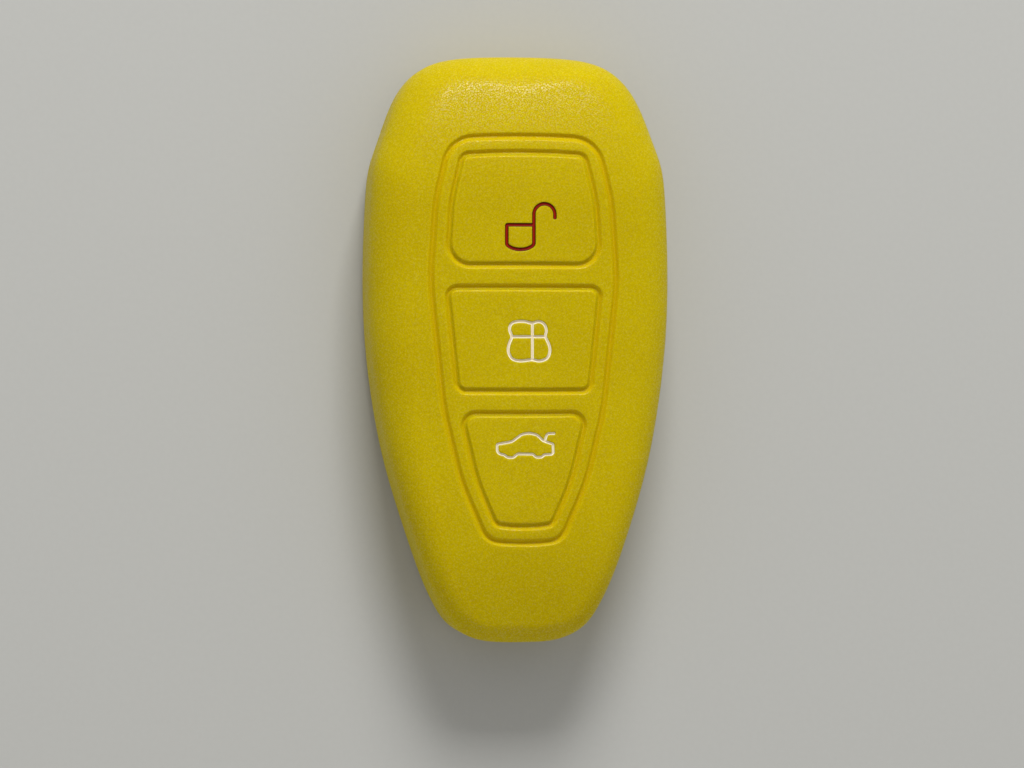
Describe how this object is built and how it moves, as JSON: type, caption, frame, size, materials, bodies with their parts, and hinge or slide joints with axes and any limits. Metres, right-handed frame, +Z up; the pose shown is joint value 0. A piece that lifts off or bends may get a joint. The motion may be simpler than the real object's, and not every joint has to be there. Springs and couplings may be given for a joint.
{
  "type": "key fob cover",
  "caption": "Soft silicone cover that wraps a keyless car fob, with sprung button pads, a grooved front, an open back and a slot for the key ring.",
  "frame": {"origin": "on the flat back face, at the middle of the length and width", "axes": "+Z up through the front with the buttons, +Y towards the wide end, +X across the width"},
  "size_m": [0.0422, 0.082, 0.0175],
  "materials": {
    "silicone": "matte yellow silicone with a fine dry texture",
    "red_ink": "dark red ink filled into sunk lines",
    "white_ink": "white ink filled into sunk lines"
  },
  "bodies": {
    "cover": {"cover_shell": "silicone", "unlock_web": "silicone", "lock_web": "silicone", "boot_web": "silicone"},
    "unlock_button": {"unlock_pad": "silicone", "unlock_ink": "red_ink"},
    "lock_button": {"lock_pad": "silicone", "lock_ink": "white_ink"},
    "boot_button": {"boot_pad": "silicone", "boot_ink": "white_ink"}
  },
  "joints": [
    {"name": "unlock_press", "type": "slide", "parent": "cover", "child": "unlock_button", "axis": [0, 0, -1], "range_m": [0, 0.0005], "stiffness_N_per_m": 2500, "deforming": ["unlock_web"]},
    {"name": "lock_press", "type": "slide", "parent": "cover", "child": "lock_button", "axis": [0, 0, -1], "range_m": [0, 0.0005], "stiffness_N_per_m": 2500, "deforming": ["lock_web"]},
    {"name": "boot_press", "type": "slide", "parent": "cover", "child": "boot_button", "axis": [0, 0, -1], "range_m": [0, 0.0005], "stiffness_N_per_m": 2500, "deforming": ["boot_web"]}
  ]
}
